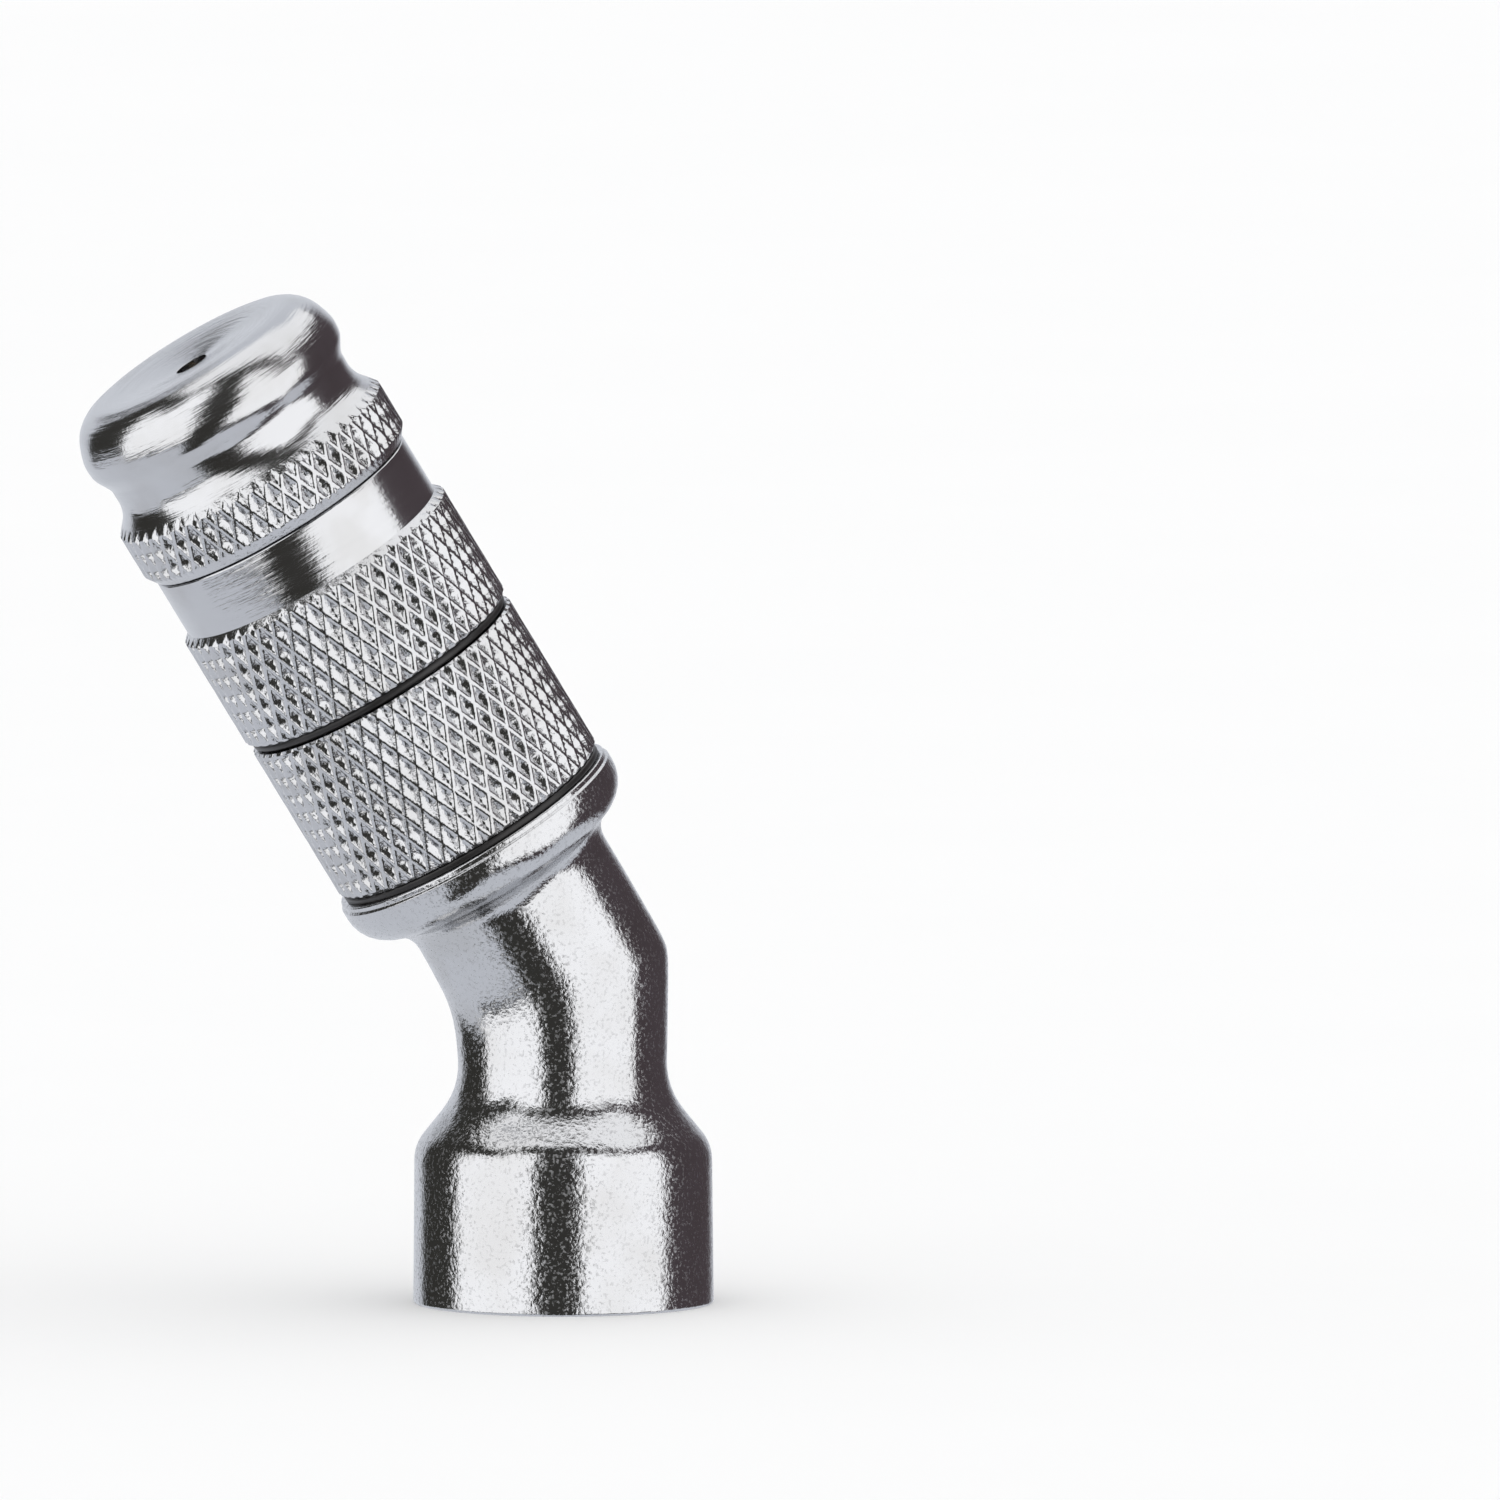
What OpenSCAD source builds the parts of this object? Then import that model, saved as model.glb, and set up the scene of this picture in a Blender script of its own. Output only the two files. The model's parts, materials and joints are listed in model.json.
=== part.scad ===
// Angled spray head: a forged elbow with a threaded inlet socket, a knurled
// coupling nut, a barrel that the nut draws on, and a screw-adjusted spray tip.
// The origin is the centre of the inlet mouth. +Z runs up the inlet, and the
// head leans towards -X. Stations named _t lie along the head axis, measured
// from the bend point, where the inlet axis and the head axis meet.

/* [Elbow] */
// Angle between the inlet axis and the head axis, degrees
bend_angle = 31.5; // [25:0.5:35]
// Height of the bend point above the inlet mouth
bend_z = 19; // [18.5:0.1:21]
// Outside radius of the inlet socket at its mouth
socket_mouth_r = 8.7; // [8.4:0.05:9.2]
// Outside radius of the inlet socket at the start of its shoulder
socket_top_r = 8.6; // [8.3:0.05:9]
// Height at which the socket's rounded shoulder starts
socket_h = 8.3; // [8:0.1:9]
// Slope of the shoulder against the inlet axis, degrees
shoulder_slope = 39; // [35:1:45]
// Outside radius of the tube above the inlet socket
tube_r = 5.95; // [5.8:0.05:6]
// Outside radius of the tube below the collar
head_tube_r = 6.2; // [6.15:0.05:6.4]
// Radius of the water passage
passage_r = 3.2; // [2.8:0.1:3.3]
// Largest radius of the collar
collar_r = 8.93; // [8.7:0.01:9.2]
// Station of the collar's flat top
collar_top_t = 10.4; // [10.2:0.1:10.8]

/* [Inlet thread, G 1/4] */
// Major radius of the inlet thread
inlet_r = 6.58; // [6.5:0.01:6.65]
// Length of the inlet thread
inlet_len = 8.3; // [7.5:0.1:8.5]
// Thickness of the inlet washer
inlet_washer_h = 1.0; // [0.8:0.1:1.2]

/* [Spigot] */
// Outside radius of the spigot that the barrel slides on
spigot_r = 5; // [4.9:0.05:5.1]
// Station of the spigot's end
spigot_end_t = 24; // [23.8:0.1:24.2]
// Thickness of a seal's round section
seal_section = 0.84; // [0.7:0.02:0.9]

/* [Coupling nut] */
// Radius over the nut's knurl
nut_r = 8.65; // [8.4:0.01:8.8]
// Station of the nut's rear end
nut_start_t = 10.85; // [10.8:0.05:11]
// Station of the nut's front end
nut_end_t = 20.8; // [20.6:0.1:20.9]
// Length of the lip that runs on the spigot
nut_lip = 1.6; // [1.4:0.1:1.7]

/* [Spray barrel] */
// Radius over the barrel's knurl
barrel_knurl_r = 8.72; // [8.5:0.01:8.9]
// Radius of the smooth band
band_r = 8.27; // [8.1:0.01:8.4]
// Radius of the thread that the nut runs on
tail_r = 6.95; // [6.9:0.01:6.97]
// Station of the barrel's rear end
tail_start_t = 14.4; // [14.2:0.1:14.8]
// Station where the barrel's knurl starts
barrel_start_t = 21.4; // [21.3:0.1:21.6]
// Station where the barrel's knurl ends
barrel_knurl_end_t = 28.3; // [28:0.1:28.6]
// Station where the smooth band ends
band_end_t = 32.25; // [32:0.05:32.3]
// Radius of the front extension that the tip screws on
extension_r = 6; // [5.9:0.05:6.05]
// Station of the extension's front end
extension_end_t = 39.2; // [39:0.1:39.3]
// Number of flow holes in the barrel's web
flow_holes = 6; // [4:1:6]

/* [Spray tip] */
// Radius over the tip's knurl
tip_knurl_r = 8.73; // [8.5:0.01:8.9]
// Station of the tip's rear end
tip_start_t = 32.35; // [32.35:0.01:32.4]
// Station where the tip's knurl ends
tip_knurl_end_t = 35.6; // [35.4:0.1:35.7]
// Radius of the neck at its narrowest
neck_r = 7.74; // [7.6:0.01:8]
// Largest radius of the rim
rim_r = 8.35; // [8.2:0.01:8.6]
// Station of the rim's largest radius
rim_t = 40.04; // [39.9:0.01:40.2]
// Station of the crest of the face
crest_t = 42.76; // [42.6:0.01:43]
// Radius of the crest of the face
crest_r = 6.26; // [6:0.01:6.5]
// Radius of the orifice in the face
orifice_r = 1; // [0.9:0.05:1.2]

/* [Hidden] */
$fn = 72;

// Clearances
running = 0.05;         // radial play between pieces that turn or slide
slip = 0.02;            // play between pieces of one body
cut = 1;                // how far a cutter runs past a face
half_space = 40;        // side of the cubes that cut the mitre
mitre_lap = 0.3;        // how far the narrower tube runs on inside the wider one
passage_step = 0.1;     // how much narrower the passage is beyond the bend

// Elbow
shoulder_round = 2.5;   // convex radius at the top of the socket
shoulder_fillet = 4.5;  // concave radius where the shoulder meets the tube
mouth_edge = 0.2;       // broken outer edge of the inlet mouth
socket_floor_z = inlet_len + inlet_washer_h + 0.05;
washer_seat_r = inlet_r - 0.28;
strainer_seat_r = passage_r + 0.45;
strainer_h = 1.3;
strainer_seat_z = socket_floor_z + strainer_h + running;
screen_h = 0.2;
screen_hole_r = 0.32;
screen_pitch = 1.05;
collar_under_t = 7.2;   // station where the collar leaves the tube
collar_edge = 0.23;     // machined edge at the collar's top
collar_round_h = 2.7;   // height of the collar's rounded underside

// Rings on the spigot
groove_depth = 0.9;
groove_w = 1.0;
seal_centre_r = spigot_r - 0.44;
rear_seal_t = 19.4;
front_seal_t = 22.4;
collar_washer_h = 0.4;
collar_washer_r = 8.5;
thrust_washer_t = nut_start_t + nut_lip + running;
thrust_washer_h = 0.4;
snap_ring_t = thrust_washer_t + thrust_washer_h + running;
snap_ring_h = 0.7;
snap_ring_depth = 0.5;
snap_ring_r = 6;
snap_ring_gap = 1.6;    // opening of the split ring

// Nut
nut_bore_r = tail_r + running;
knurl_edge = 0.25;      // broken edge of a knurled band

// Barrel
barrel_bore_r = spigot_r + running;
band_chamfer = 0.4;
dust_ring_h = 0.5;
dust_ring_r = 8.45;
dust_seat_r = 6.4;
gasket_h = 0.6;
bore_end_t = spigot_end_t + gasket_h + 2 * running;
plenum_r = 4.3;
plenum_h = 0.8;
web_start_t = bore_end_t + plenum_h;
web_h = 1.8;
web_end_t = web_start_t + web_h;
flow_hole_r = 0.7;
flow_circle_r = 3;
chamber_r = 4.6;

// Swirl parts
stem_r = 1.2;
stem_head_r = 1.9;
stem_head_h = 0.65;
stem_front_r = 0.9;
core_start_t = 36.6;
core_h = 2.2;
core_r = chamber_r - 0.08;
core_slots = 3;
core_slot_w = 0.9;
core_slot_depth = 1.3;
core_slot_skew = 32;
stem_cone_t = core_start_t + core_h;
stem_cone_h = 1.5;
stem_point_r = 0.35;
stem_nut_flat_r = 2.0;
stem_nut_h = 1.5;

// Tip
tip_bore_r = extension_r + 0.06;
tip_chamfer_h = 0.65;
tip_cone_h = 0.85;
tip_cone_end_r = 8.05;
neck_t = 37.5;          // station where the neck is narrowest
flare_h = rim_t - neck_t;
tip_seal_t = 35.9;
tip_seal_centre_r = 6.45;
tip_groove_r = 6.9;
tip_shoulder_t = extension_end_t + 0.3;
disc_r = 4.5;
disc_h = 1.05;
disc_hole_r = 0.8;
disc_gasket_h = 0.3;
disc_gasket_hole_r = 1.6;
disc_seat_end_t = tip_shoulder_t + 1.6;
dish_mid_r = 3;         // where the shallow dish turns steeper
dish_mid_drop = 0.23;
orifice_drop = 0.76;    // how far the orifice's edge lies below the crest

// Points along an elliptic arc, from angle a0 to a1
function arc_points(cx, cy, rx, ry, a0, a1, steps = 8) =
    [for (i = [0 : steps])
        let (a = a0 + (a1 - a0) * i / steps)
        [cx + rx * cos(a), cy + ry * sin(a)]];

// Moves its children onto the head axis, with the bend point at their origin
module on_head_axis() {
    translate([0, 0, bend_z]) rotate([0, -bend_angle, 0]) children();
}

module tube_between(start, end, outer_r, inner_r) {
    translate([0, 0, start]) difference() {
        cylinder(h = end - start, r = outer_r);
        translate([0, 0, -cut]) cylinder(h = end - start + 2 * cut, r = inner_r);
    }
}

module rod_between(start, end, r) {
    translate([0, 0, start]) cylinder(h = end - start, r = r);
}

// A round seal lying in a groove that starts at a station
module seal_ring(groove_t, centre_r) {
    translate([0, 0, groove_t + groove_w / 2])
        rotate_extrude() translate([centre_r, 0]) circle(d = seal_section, $fn = 32);
}

// One side of the mitre plane: sign -1 keeps the inlet side, +1 the head side
module mitre_side(sign, past = 0) {
    translate([0, 0, bend_z]) rotate([0, -bend_angle / 2, 0])
        translate([0, 0, sign * half_space / 2 + past]) cube(half_space, center = true);
}

// Inlet half of the forging: socket, shoulder and tube, past the mitre plane
module inlet_half() {
    round_r = socket_top_r - shoulder_round;
    cone_r = round_r + shoulder_round * cos(shoulder_slope);
    cone_z = socket_h + shoulder_round * sin(shoulder_slope);
    fillet_r = tube_r + shoulder_fillet * (1 - cos(shoulder_slope));
    fillet_z = cone_z + (cone_r - fillet_r) / tan(shoulder_slope);
    end_z = fillet_z + shoulder_fillet * sin(shoulder_slope);
    top_z = bend_z + tube_r;
    rotate_extrude() polygon(concat(
        [[0, 0], [socket_mouth_r - mouth_edge, 0], [socket_mouth_r, mouth_edge]],
        arc_points(round_r, socket_h, shoulder_round, shoulder_round, 0, shoulder_slope, 5),
        arc_points(tube_r + shoulder_fillet, end_z, shoulder_fillet, shoulder_fillet,
            180 + shoulder_slope, 180, 5),
        [[tube_r, top_z], [0, top_z]]));
}

// The two corners of a groove cut into the spigot, and the two at its mouth
function groove_points(start, width, depth) = [
    [spigot_r, start], [spigot_r - depth, start],
    [spigot_r - depth, start + width], [spigot_r, start + width]];

// Head half of the forging: tube, collar and grooved spigot, along +Z
module head_half() {
    edge_t = collar_under_t + collar_round_h;
    rotate_extrude() polygon(concat(
        [[0, -tube_r], [head_tube_r, -tube_r]],
        arc_points(head_tube_r, edge_t, collar_r - head_tube_r, collar_round_h, 270, 360, 7),
        [[collar_r, collar_top_t - collar_edge],
         [collar_r - collar_edge, collar_top_t],
         [spigot_r, collar_top_t]],
        groove_points(snap_ring_t, snap_ring_h, snap_ring_depth),
        groove_points(rear_seal_t, groove_w, groove_depth),
        groove_points(front_seal_t, groove_w, groove_depth),
        [[spigot_r, spigot_end_t], [0, spigot_end_t]]));
}

module elbow_body() {
    color("silver") difference() {
        union() {
            intersection() {
                inlet_half();
                mitre_side(-1, mitre_lap);
            }
            intersection() {
                on_head_axis() head_half();
                mitre_side(1);
            }
        }
        rod_between(-cut, inlet_len, inlet_r);
        rod_between(inlet_len - cut, socket_floor_z, washer_seat_r);
        rod_between(socket_floor_z - cut, strainer_seat_z, strainer_seat_r);
        rod_between(socket_floor_z, bend_z + cut, passage_r);
        on_head_axis() rod_between(-cut, spigot_end_t + cut, passage_r - passage_step);
    }
}

module inlet_washer() {
    color("dimgray") tube_between(inlet_len + slip, inlet_len + slip + inlet_washer_h,
        washer_seat_r - slip, passage_r + 0.1);
}

module strainer_ring() {
    color("silver") tube_between(socket_floor_z + running, socket_floor_z + strainer_h,
        strainer_seat_r - running, passage_r - 0.2);
}

module strainer_screen() {
    screen_z = socket_floor_z + strainer_h / 2;
    color("gainsboro") difference() {
        rod_between(screen_z, screen_z + screen_h, passage_r - 0.2 - slip);
        for (ring = [0 : 2])
            for (i = [0 : max(0, 6 * ring - 1)])
                rotate([0, 0, ring == 0 ? 0 : 360 * i / (6 * ring)])
                    translate([ring * screen_pitch * 0.9, 0, screen_z - cut])
                        cylinder(h = screen_h + 2 * cut, r = screen_hole_r, $fn = 24);
    }
}

module collar_washer() {
    start = collar_top_t;
    color("black") on_head_axis()
        tube_between(start, start + collar_washer_h, collar_washer_r, spigot_r + slip);
}

module nut_thrust_washer() {
    color("ivory") on_head_axis()
        tube_between(thrust_washer_t, thrust_washer_t + thrust_washer_h,
            snap_ring_r + 0.5, spigot_r + slip);
}

module nut_snap_ring() {
    color("slategray") on_head_axis() difference() {
        tube_between(snap_ring_t + slip, snap_ring_t + snap_ring_h - slip,
            snap_ring_r, spigot_r - snap_ring_depth + slip);
        translate([0, -snap_ring_gap / 2, snap_ring_t - cut])
            cube([snap_ring_r + cut, snap_ring_gap, snap_ring_h + 2 * cut]);
    }
}

module rear_spigot_seal() {
    color("black") on_head_axis() seal_ring(rear_seal_t, seal_centre_r);
}

module front_spigot_seal() {
    color("black") on_head_axis() seal_ring(front_seal_t, seal_centre_r);
}

module coupling_nut() {
    bore_r = spigot_r + running;
    lip_t = nut_start_t + nut_lip;
    color("lightgray") on_head_axis() rotate_extrude() polygon([
        [bore_r, nut_start_t],
        [nut_r - knurl_edge, nut_start_t],
        [nut_r, nut_start_t + knurl_edge],
        [nut_r, nut_end_t - knurl_edge],
        [nut_r - knurl_edge, nut_end_t],
        [nut_bore_r + knurl_edge, nut_end_t],
        [nut_bore_r, nut_end_t - knurl_edge],
        [nut_bore_r, lip_t],
        [bore_r, lip_t]]);
}

module barrel_blank() {
    rotate_extrude() polygon([
        [barrel_bore_r, tail_start_t],
        [tail_r - knurl_edge, tail_start_t],
        [tail_r, tail_start_t + knurl_edge],
        [tail_r, barrel_start_t - dust_ring_h - 2 * running],
        [dust_seat_r, barrel_start_t - dust_ring_h - 2 * running],
        [dust_seat_r, barrel_start_t],
        [barrel_knurl_r - knurl_edge, barrel_start_t],
        [barrel_knurl_r, barrel_start_t + knurl_edge],
        [barrel_knurl_r, barrel_knurl_end_t],
        [band_r, barrel_knurl_end_t + band_chamfer],
        [band_r, band_end_t],
        [extension_r, band_end_t],
        [extension_r, extension_end_t],
        [chamber_r, extension_end_t],
        [chamber_r, web_end_t],
        [stem_r + slip, web_end_t],
        [stem_r + slip, web_start_t],
        [plenum_r, web_start_t],
        [plenum_r, bore_end_t],
        [barrel_bore_r, bore_end_t]]);
}

module spray_barrel() {
    color("lightgray") on_head_axis() difference() {
        barrel_blank();
        for (i = [0 : flow_holes - 1])
            rotate([0, 0, 360 * i / flow_holes]) translate([flow_circle_r, 0, 0])
                rod_between(web_start_t - plenum_h / 2, web_end_t + cut, flow_hole_r);
    }
}

module dust_ring() {
    start = barrel_start_t - dust_ring_h - running / 2;
    edge = dust_ring_h / 2;
    color("black") on_head_axis() rotate_extrude() polygon(concat(
        [[dust_seat_r + slip, start]],
        arc_points(dust_ring_r - edge, start + edge, edge, edge, -90, 90, 8),
        [[dust_seat_r + slip, start + dust_ring_h]]));
}

module barrel_gasket() {
    color("dimgray") on_head_axis()
        tube_between(spigot_end_t + running, bore_end_t - running / 2,
            barrel_bore_r - slip, passage_r + 0.1);
}

module swirl_stem() {
    color("goldenrod") on_head_axis() {
        rod_between(web_start_t - stem_head_h, web_start_t, stem_head_r);
        rod_between(web_start_t - slip, core_start_t, stem_r);
        rod_between(core_start_t - slip, stem_cone_t, stem_front_r);
        translate([0, 0, stem_cone_t - slip])
            cylinder(h = stem_cone_h, r1 = stem_front_r, r2 = stem_point_r);
    }
}

module stem_nut() {
    corner_r = stem_nut_flat_r / cos(30);
    color("goldenrod") on_head_axis() difference() {
        translate([0, 0, web_end_t]) cylinder(h = stem_nut_h, r = corner_r, $fn = 6);
        rod_between(web_end_t - cut, web_end_t + stem_nut_h + cut, stem_r + slip);
    }
}

module swirl_core() {
    slot_len = 4 * core_h;
    color("goldenrod") on_head_axis() difference() {
        tube_between(core_start_t, core_start_t + core_h, core_r, stem_front_r + slip);
        for (i = [0 : core_slots - 1])
            rotate([0, 0, 360 * i / core_slots])
                translate([core_r - core_slot_depth, 0, core_start_t + core_h / 2])
                    rotate([core_slot_skew, 0, 0])
                        translate([0, -core_slot_w / 2, -slot_len / 2])
                            cube([core_slot_depth + cut, core_slot_w, slot_len]);
    }
}

module tip_seal() {
    color("black") on_head_axis() seal_ring(tip_seal_t, tip_seal_centre_r);
}

module tip_blank() {
    sweep_h = neck_t - tip_knurl_end_t - tip_cone_h;
    rotate_extrude() polygon(concat(
        [[0, tip_start_t], [band_r, tip_start_t],
         [tip_knurl_r, tip_start_t + tip_chamfer_h],
         [tip_knurl_r, tip_knurl_end_t]],
        // The cone in front of the knurl runs hollow into the narrowest part of the neck
        [for (i = [0 : 5]) let (u = 1 - i / 5)
            [neck_r + (tip_cone_end_r - neck_r) * u * u, neck_t - sweep_h * u]],
        // The flare leaves the neck along the axis and meets the rim's widest point
        [for (i = [1 : 6]) let (u = i / 7)
            [neck_r + (rim_r - neck_r) * (1 - cos(180 * u)) / 2, neck_t + flare_h * u]],
        arc_points(crest_r, rim_t, rim_r - crest_r, crest_t - rim_t, 0, 90, 10),
        [[dish_mid_r, crest_t - dish_mid_drop],
         [orifice_r, crest_t - orifice_drop],
         [0, crest_t - orifice_drop]]));
}

module spray_tip() {
    color("lightgray") on_head_axis() difference() {
        tip_blank();
        rod_between(tip_start_t - cut, tip_shoulder_t, tip_bore_r);
        rod_between(tip_shoulder_t - cut, disc_seat_end_t, disc_r + slip);
        rod_between(disc_seat_end_t - cut, crest_t, orifice_r);
        tube_between(tip_seal_t, tip_seal_t + groove_w, tip_groove_r, tip_bore_r - cut);
    }
}

module disc_gasket() {
    color("dimgray") on_head_axis()
        tube_between(disc_seat_end_t - disc_gasket_h, disc_seat_end_t - slip,
            disc_r, disc_gasket_hole_r);
}

module orifice_disc() {
    end = disc_seat_end_t - disc_gasket_h;
    color("gainsboro") on_head_axis()
        tube_between(end - disc_h, end - slip, disc_r, disc_hole_r);
}

elbow_body();
inlet_washer();
strainer_ring();
strainer_screen();
collar_washer();
nut_thrust_washer();
nut_snap_ring();
rear_spigot_seal();
front_spigot_seal();
coupling_nut();
spray_barrel();
dust_ring();
barrel_gasket();
swirl_stem();
stem_nut();
swirl_core();
tip_seal();
spray_tip();
disc_gasket();
orifice_disc();
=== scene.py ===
"""Angled spray head: elbow forging, knurled coupling nut, barrel and spray tip, with their stage."""

import json
import math

import bmesh
import bpy
from mathutils import Matrix, Vector


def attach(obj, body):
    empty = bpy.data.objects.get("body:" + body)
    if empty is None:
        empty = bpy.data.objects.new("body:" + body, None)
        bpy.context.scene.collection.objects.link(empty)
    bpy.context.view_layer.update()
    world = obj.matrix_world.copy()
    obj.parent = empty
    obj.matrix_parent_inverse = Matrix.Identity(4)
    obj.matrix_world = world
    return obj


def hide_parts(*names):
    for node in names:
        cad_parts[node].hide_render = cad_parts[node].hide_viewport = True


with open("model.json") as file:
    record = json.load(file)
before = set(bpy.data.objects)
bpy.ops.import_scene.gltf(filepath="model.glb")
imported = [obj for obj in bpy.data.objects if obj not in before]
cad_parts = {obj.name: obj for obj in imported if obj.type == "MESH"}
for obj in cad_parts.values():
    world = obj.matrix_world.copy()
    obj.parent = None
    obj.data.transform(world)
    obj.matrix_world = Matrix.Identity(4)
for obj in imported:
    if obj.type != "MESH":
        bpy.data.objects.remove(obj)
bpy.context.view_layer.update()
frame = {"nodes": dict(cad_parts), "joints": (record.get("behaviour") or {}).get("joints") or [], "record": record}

bl_info = {
    "name": "Angled Spray Head",
    "version": (1, 0, 0),
    "blender": (4, 5, 0),
    "location": "3D View > Sidebar > Spray Head",
    "description": "Builds the finished pieces of an angled spray head round its CAD frame",
    "category": "Mesh",
}

MM = 0.001
TURN = 2 * math.pi
UNDER_PITS = 0.06 * MM      # how far a core stays below the knurl's pits
LAP = 0.1 * MM              # how far a knurled ring laps into its core
FLOOR_REACH = 12.0          # half the floor's side, in metres

# Directions in the studio, in degrees: azimuth 0 is towards the camera and positive to its
# right, and height 0 is the horizon
RIGHT_BOX, LEFT_BOX = (13.5, 86.0), (-91.0, -23.0)
BOX_HEIGHTS = (-24.0, 47.0)
LOWERED_RIGHT, LOWERED_LEFT = (34.0, 60.0), (-62.0, -50.0)
LOWERED_RIGHT_TOP, LOWERED_LEFT_TOP = (35.5, 38.5), (29.0, 32.0)
FRONT, GAP, RIGHT_SIDE = (-91.0, 89.0), (-22.0, 14.0), (14.0, 89.0)
PAPER_EDGE, FRONT_DIP, GAP_DIP, RIGHT_DIP = -17.0, 14.0, 34.0, 6.0
BEHIND_LEFT, BEHIND_RIGHT, BEHIND_HEIGHTS = (-143.0, -137.0), (150.0, 172.0), (-60.0, 70.0)
SHADE, SHADE_HEIGHTS = (-160.0, -149.0), (17.0, 28.0)
# The overhead box's sides, on a plane one unit above the head: across and towards the camera
TOP_NEAR, TOP_FAR = ((-0.85, 0.92), (-0.60, 0.38)), ((0.12, 0.80), (-1.3, -0.42))
TOP_LIGHT = 0.88            # its brightness against the front boxes
EVEN_WHITE = 0.985          # what the camera and the matt surfaces see

# The head's own axis and bend point come from the frame's screw joint
TIP_TURN = next(joint for joint in frame["joints"] if joint["name"] == "tip_turn")
HEAD_AXIS = Vector(TIP_TURN["axis"]).normalized()
BEND_POINT = Vector(TIP_TURN["pos_m"])
BEND_Z = BEND_POINT.z
BEND_ANGLE = math.atan2(-HEAD_AXIS.x, HEAD_AXIS.z)
HEAD_SPACE = Matrix.Translation(BEND_POINT) @ Matrix.Rotation(-BEND_ANGLE, 4, "Y")


def mm(value):
    """Millimetres to metres."""
    return value * MM


def head_span(node):
    """First station, last station and largest radius of a CAD node on the head axis."""
    to_head = HEAD_SPACE.inverted()
    points = [to_head @ vertex.co for vertex in frame["nodes"][node].data.vertices]
    stations = [point.z for point in points]
    radii = [math.hypot(point.x, point.y) for point in points]
    return min(stations), max(stations), max(radii)


def length(name, description, default, low=0.0):
    """A length property in metres."""
    return bpy.props.FloatProperty(
        name=name, description=description, default=default, min=low,
        unit="LENGTH", subtype="DISTANCE", precision=5)


def share(name, description, default, high=1.0):
    """A plain number property."""
    return bpy.props.FloatProperty(
        name=name, description=description, default=default, min=0.0, max=high)


def colour(name, description, default):
    """A linear colour property."""
    return bpy.props.FloatVectorProperty(
        name=name, description=description, default=default, size=3, min=0.0, max=4.0,
        subtype="COLOR")


def angle(name, description, degrees):
    """An angle property, given in degrees."""
    return bpy.props.FloatProperty(
        name=name, description=description, default=math.radians(degrees),
        unit="ROTATION", subtype="ANGLE")


# --------------------------------------------------------------------------- settings


class SprayHeadForging(bpy.types.PropertyGroup):
    """Sizes of the elbow forging that the CAD frame leaves plain."""

    tube_r: length("Inlet tube radius", "Outside radius of the tube above the socket", mm(5.95))
    head_tube_r: length("Head tube radius", "Outside radius of the tube below the collar", mm(6.2))
    outer_corner: length("Outer corner", "Softness of the mitre's outer corner", mm(0.55))
    inner_corner: length("Inner corner", "Softness of the mitre's inner corner", mm(2.0))
    shoulder_slope: angle("Shoulder slope", "Slope of the shoulder against the inlet axis", 39.0)
    shoulder_round: length("Shoulder round", "Radius at the top of the socket", mm(2.5))
    shoulder_fillet: length("Shoulder fillet", "Hollow radius at the foot of the tube", mm(4.5))
    segments: bpy.props.IntProperty(
        name="Segments", description="Faces round the forging", default=160, min=24)


class SprayHeadKnurl(bpy.types.PropertyGroup):
    """The diamond knurl that the nut, the barrel and the tip share."""

    ridges: bpy.props.IntProperty(
        name="Ridges", description="Ridges of one hand round the knurl", default=50, min=12)
    lead: length("Cell length", "Length of one diamond along the axis", mm(2.4))
    depth: length("Depth", "Depth of a diamond's pit below its ridges", mm(0.31))
    ridge: share("Ridge", "Half width of a ridge's rounded top, as a share of the pitch", 0.17)
    floor: share("Pit floor", "Where the pit's flat floor starts, as a share of the pitch", 0.48)


class SprayHeadThreads(bpy.types.PropertyGroup):
    """The three screw threads."""

    inlet_pitch: length("Inlet pitch", "Pitch of the inlet's pipe thread", mm(1.337))
    screw_pitch: length("Screw pitch", "Pitch of the nut's and the tip's threads", mm(1.0))
    slices: bpy.props.IntProperty(
        name="Slices", description="Slices in one turn of a thread", default=72, min=12)


class SprayHeadFinish(bpy.types.PropertyGroup):
    """Colours and surface detail of the finishes."""

    plating: colour("Plating", "Reflection colour of the plating", (0.625, 0.630, 0.645))
    stain: colour("Plating stain", "Colour of the plating where it is a little dull", (0.575, 0.575, 0.58))
    grain: length("Grain", "Size of the blasted surface's grain", mm(0.19))
    grain_height: length("Grain height", "Height of the blasted surface's grain", mm(0.018))
    pit_roughness: share("Pit roughness", "Roughness inside the blasted surface's pits", 0.36)
    line_pitch: length("Line pitch", "Spacing of the fine turned lines", mm(0.26))
    line_height: length("Line height", "Height of the fine turned lines", mm(0.030))
    rubber: colour("Rubber", "Colour of the black seals", (0.012, 0.011, 0.011))
    brass: colour("Brass", "Colour of the bare brass pieces", (0.80, 0.58, 0.27))
    steel: colour("Steel", "Colour of the stainless pieces", (0.58, 0.57, 0.55))


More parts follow.
